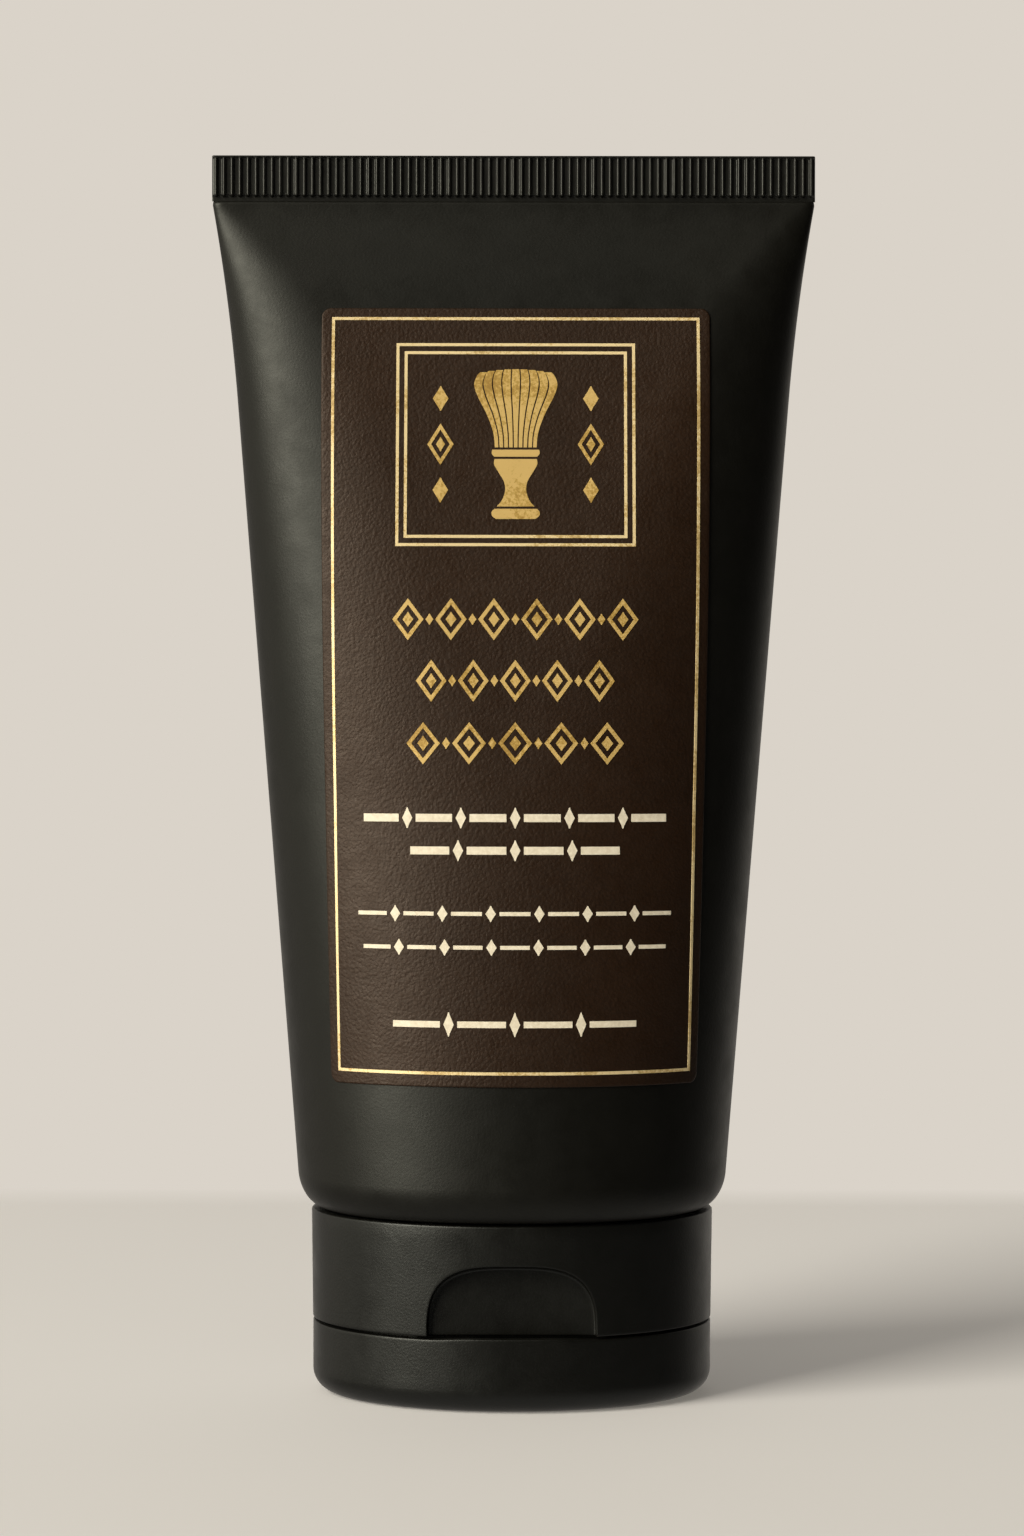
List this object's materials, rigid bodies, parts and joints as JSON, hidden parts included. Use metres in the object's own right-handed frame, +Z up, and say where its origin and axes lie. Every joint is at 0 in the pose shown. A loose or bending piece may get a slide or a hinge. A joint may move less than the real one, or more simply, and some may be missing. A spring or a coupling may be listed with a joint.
{
  "type": "shaving cream tube",
  "caption": "Flattened-oval squeeze tube standing head-down on a push-fit oval flip-top cap, with a ribbed crimped end seal and a wrapped front label.",
  "frame": {"origin": "centre of the lid's foot, on the surface that the tube stands on", "axes": "+Z up from the lid to the crimped end seal, -Y towards the labelled front, +Y towards the lid's hinge, +X to the right seen from the front"},
  "size_m": [0.0784, 0.0444, 0.1605],
  "materials": {
    "sleeve": "matte",
    "head": "matte",
    "shave_cream": "satin",
    "label_stock": "satin",
    "gold_foil": "satin",
    "cream_ink": "matte",
    "cap": "satin",
    "hinge": "satin"
  },
  "bodies": {
    "tube": {"tube_sleeve": "sleeve", "end_seal": "sleeve", "tube_head": "head", "shave_cream": "shave_cream", "front_label": "label_stock", "label_border": "gold_foil", "emblem_frame": "gold_foil", "emblem": "gold_foil", "heading_ornaments": "gold_foil", "upper_caption_bars": "cream_ink", "lower_caption_bars": "cream_ink", "volume_bars": "cream_ink", "cap_skirt": "cap", "cap_deck": "cap", "cap_ribs": "cap", "snap_collar": "cap", "dispensing_nozzle": "cap", "hinge_film": "hinge", "hinge_band_left": "hinge", "hinge_band_right": "hinge"},
    "lid": {"lid_shell": "cap", "sealing_plug": "cap"}
  },
  "joints": [
    {"name": "lid_hinge", "type": "hinge", "parent": "tube", "child": "lid", "pos_m": [0, 0.0193, 0.00948], "axis": [1, 0, 0], "range_deg": [0, 150], "deforming": ["hinge_film", "hinge_band_left", "hinge_band_right"]}
  ]
}
